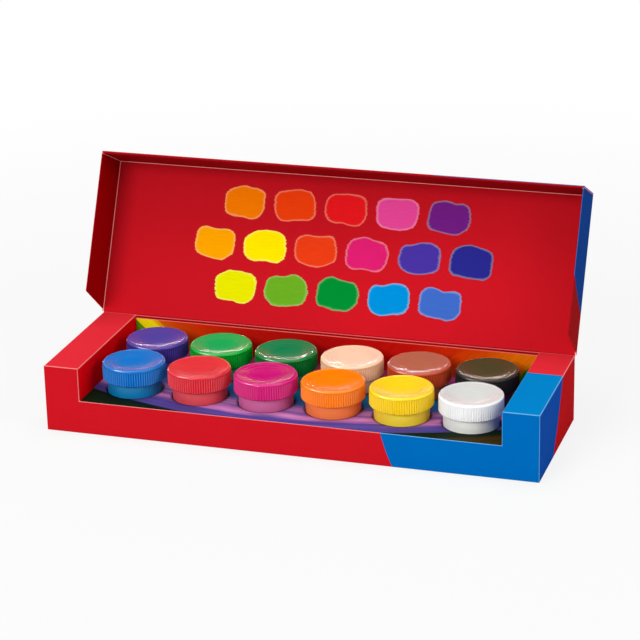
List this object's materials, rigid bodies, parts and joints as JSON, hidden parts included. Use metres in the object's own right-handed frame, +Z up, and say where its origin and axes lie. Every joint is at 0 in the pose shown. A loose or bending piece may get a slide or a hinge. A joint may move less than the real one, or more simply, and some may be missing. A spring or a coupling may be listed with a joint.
{
  "type": "tempera paint set",
  "caption": "Folded card paint box standing open, with a tray lid on its back crease, a window cut in the front, a printed insert and two rows of small ribbed screw-cap jars of tempera paint.",
  "frame": {"origin": "centre of the carton's underside, under the middle of the box without its lid", "axes": "+X to the right along the box, +Y from the windowed front to the back crease, +Z up"},
  "size_m": [0.2868, 0.1294, 0.1347],
  "materials": {
    "printed_board": "satin",
    "insert_card": "satin",
    "blue_cup": "satin",
    "blue_paint": "gloss",
    "blue_cap": "gloss",
    "red_cup": "satin",
    "red_paint": "gloss",
    "red_cap": "gloss",
    "magenta_cup": "satin",
    "magenta_paint": "gloss",
    "magenta_cap": "gloss",
    "orange_cup": "satin",
    "orange_paint": "gloss",
    "orange_cap": "gloss",
    "yellow_cup": "satin",
    "yellow_paint": "gloss",
    "yellow_cap": "gloss",
    "white_cup": "satin",
    "white_paint": "gloss",
    "white_cap": "gloss",
    "violet_cup": "satin",
    "violet_paint": "gloss",
    "violet_cap": "gloss",
    "light_green_cup": "satin",
    "light_green_paint": "gloss",
    "light_green_cap": "gloss",
    "dark_green_cup": "satin",
    "dark_green_paint": "gloss",
    "dark_green_cap": "gloss",
    "peach_cup": "satin",
    "peach_paint": "gloss",
    "peach_cap": "gloss",
    "brown_cup": "satin",
    "brown_paint": "gloss",
    "brown_cap": "gloss",
    "black_cup": "satin",
    "black_paint": "gloss",
    "black_cap": "gloss"
  },
  "bodies": {
    "carton": {"carton_floor": "printed_board", "front_wall": "printed_board", "back_wall": "printed_board", "left_end": "printed_board", "right_end": "printed_board", "corner_tabs": "printed_board", "insert_deck": "insert_card", "insert_front_leg": "insert_card", "insert_back_panel": "insert_card"},
    "lid": {"lid_panel": "printed_board", "lid_front_wall": "printed_board", "lid_left_wall": "printed_board", "lid_right_wall": "printed_board", "lid_glue_tabs": "printed_board"},
    "blue_jar": {"blue_cup": "blue_cup", "blue_paint": "blue_paint"},
    "blue_lid": {"blue_cap": "blue_cap"},
    "red_jar": {"red_cup": "red_cup", "red_paint": "red_paint"},
    "red_lid": {"red_cap": "red_cap"},
    "magenta_jar": {"magenta_cup": "magenta_cup", "magenta_paint": "magenta_paint"},
    "magenta_lid": {"magenta_cap": "magenta_cap"},
    "orange_jar": {"orange_cup": "orange_cup", "orange_paint": "orange_paint"},
    "orange_lid": {"orange_cap": "orange_cap"},
    "yellow_jar": {"yellow_cup": "yellow_cup", "yellow_paint": "yellow_paint"},
    "yellow_lid": {"yellow_cap": "yellow_cap"},
    "white_jar": {"white_cup": "white_cup", "white_paint": "white_paint"},
    "white_lid": {"white_cap": "white_cap"},
    "violet_jar": {"violet_cup": "violet_cup", "violet_paint": "violet_paint"},
    "violet_lid": {"violet_cap": "violet_cap"},
    "light_green_jar": {"light_green_cup": "light_green_cup", "light_green_paint": "light_green_paint"},
    "light_green_lid": {"light_green_cap": "light_green_cap"},
    "dark_green_jar": {"dark_green_cup": "dark_green_cup", "dark_green_paint": "dark_green_paint"},
    "dark_green_lid": {"dark_green_cap": "dark_green_cap"},
    "peach_jar": {"peach_cup": "peach_cup", "peach_paint": "peach_paint"},
    "peach_lid": {"peach_cap": "peach_cap"},
    "brown_jar": {"brown_cup": "brown_cup", "brown_paint": "brown_paint"},
    "brown_lid": {"brown_cap": "brown_cap"},
    "black_jar": {"black_cup": "black_cup", "black_paint": "black_paint"},
    "black_lid": {"black_cap": "black_cap"}
  },
  "joints": [
    {"name": "lid_hinge", "type": "hinge", "parent": "carton", "child": "lid", "pos_m": [0, 0.04475, 0.03955], "axis": [-1, 0, 0], "range_deg": [-115.5, 85]},
    {"name": "blue_jar_lift", "type": "slide", "parent": "carton", "child": "blue_jar", "axis": [0, 0, 1], "range_m": [0, 0.045]},
    {"name": "blue_cap_lift", "type": "slide", "parent": "blue_jar", "child": "blue_lid", "axis": [0, 0, 1], "range_m": [0, 0.02]},
    {"name": "red_jar_lift", "type": "slide", "parent": "carton", "child": "red_jar", "axis": [0, 0, 1], "range_m": [0, 0.045]},
    {"name": "red_cap_lift", "type": "slide", "parent": "red_jar", "child": "red_lid", "axis": [0, 0, 1], "range_m": [0, 0.02]},
    {"name": "magenta_jar_lift", "type": "slide", "parent": "carton", "child": "magenta_jar", "axis": [0, 0, 1], "range_m": [0, 0.045]},
    {"name": "magenta_cap_lift", "type": "slide", "parent": "magenta_jar", "child": "magenta_lid", "axis": [0, 0, 1], "range_m": [0, 0.02]},
    {"name": "orange_jar_lift", "type": "slide", "parent": "carton", "child": "orange_jar", "axis": [0, 0, 1], "range_m": [0, 0.045]},
    {"name": "orange_cap_lift", "type": "slide", "parent": "orange_jar", "child": "orange_lid", "axis": [0, 0, 1], "range_m": [0, 0.02]},
    {"name": "yellow_jar_lift", "type": "slide", "parent": "carton", "child": "yellow_jar", "axis": [0, 0, 1], "range_m": [0, 0.045]},
    {"name": "yellow_cap_lift", "type": "slide", "parent": "yellow_jar", "child": "yellow_lid", "axis": [0, 0, 1], "range_m": [0, 0.02]},
    {"name": "white_jar_lift", "type": "slide", "parent": "carton", "child": "white_jar", "axis": [0, 0, 1], "range_m": [0, 0.045]},
    {"name": "white_cap_lift", "type": "slide", "parent": "white_jar", "child": "white_lid", "axis": [0, 0, 1], "range_m": [0, 0.02]},
    {"name": "violet_jar_lift", "type": "slide", "parent": "carton", "child": "violet_jar", "axis": [0, 0, 1], "range_m": [0, 0.045]},
    {"name": "violet_cap_lift", "type": "slide", "parent": "violet_jar", "child": "violet_lid", "axis": [0, 0, 1], "range_m": [0, 0.02]},
    {"name": "light_green_jar_lift", "type": "slide", "parent": "carton", "child": "light_green_jar", "axis": [0, 0, 1], "range_m": [0, 0.045]},
    {"name": "light_green_cap_lift", "type": "slide", "parent": "light_green_jar", "child": "light_green_lid", "axis": [0, 0, 1], "range_m": [0, 0.02]},
    {"name": "dark_green_jar_lift", "type": "slide", "parent": "carton", "child": "dark_green_jar", "axis": [0, 0, 1], "range_m": [0, 0.045]},
    {"name": "dark_green_cap_lift", "type": "slide", "parent": "dark_green_jar", "child": "dark_green_lid", "axis": [0, 0, 1], "range_m": [0, 0.02]},
    {"name": "peach_jar_lift", "type": "slide", "parent": "carton", "child": "peach_jar", "axis": [0, 0, 1], "range_m": [0, 0.045]},
    {"name": "peach_cap_lift", "type": "slide", "parent": "peach_jar", "child": "peach_lid", "axis": [0, 0, 1], "range_m": [0, 0.02]},
    {"name": "brown_jar_lift", "type": "slide", "parent": "carton", "child": "brown_jar", "axis": [0, 0, 1], "range_m": [0, 0.045]},
    {"name": "brown_cap_lift", "type": "slide", "parent": "brown_jar", "child": "brown_lid", "axis": [0, 0, 1], "range_m": [0, 0.02]},
    {"name": "black_jar_lift", "type": "slide", "parent": "carton", "child": "black_jar", "axis": [0, 0, 1], "range_m": [0, 0.045]},
    {"name": "black_cap_lift", "type": "slide", "parent": "black_jar", "child": "black_lid", "axis": [0, 0, 1], "range_m": [0, 0.02]}
  ]
}
